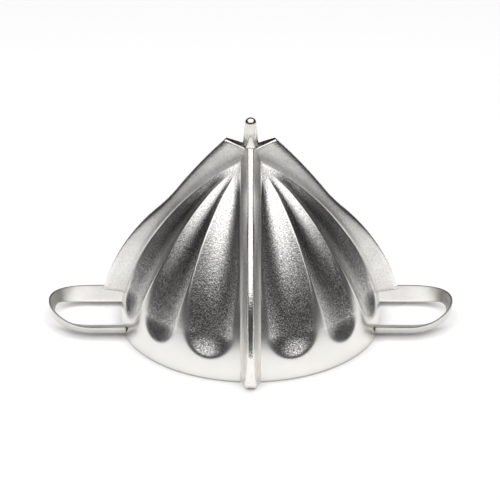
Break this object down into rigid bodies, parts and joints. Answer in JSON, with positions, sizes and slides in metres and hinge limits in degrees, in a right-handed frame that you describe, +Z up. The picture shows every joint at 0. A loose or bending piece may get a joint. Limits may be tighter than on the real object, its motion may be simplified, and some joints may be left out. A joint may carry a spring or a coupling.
{
  "type": "hand citrus press",
  "caption": "Bell-shaped hand citrus press with scooped flutes between tall crossed blades, a piercing pin on top and a finger loop at each side.",
  "frame": {"origin": "centre of the drum's underside, on the surface that the press stands on", "axes": "+Z up along the piercing pin, +X to the right finger loop, -Y towards the front blade"},
  "size_m": [0.1286, 0.0936, 0.0688],
  "materials": {
    "blasted_aluminium": "cast, bead blasted",
    "satin_aluminium": "cast, brushed satin",
    "polished_aluminium": "polished",
    "turned_steel": "turned"
  },
  "bodies": {
    "root": {"side_blade": "satin_aluminium", "front_back_blade": "satin_aluminium", "front_left_shell": "blasted_aluminium", "front_right_shell": "blasted_aluminium", "back_left_shell": "blasted_aluminium", "back_right_shell": "blasted_aluminium", "base_plate": "satin_aluminium", "base_screws": "turned_steel", "tie_bolt": "turned_steel", "tie_washer": "turned_steel", "piercing_pin": "polished_aluminium", "left_handle": "polished_aluminium", "right_handle": "polished_aluminium", "loop_pins": "turned_steel"}
  },
  "joints": []
}
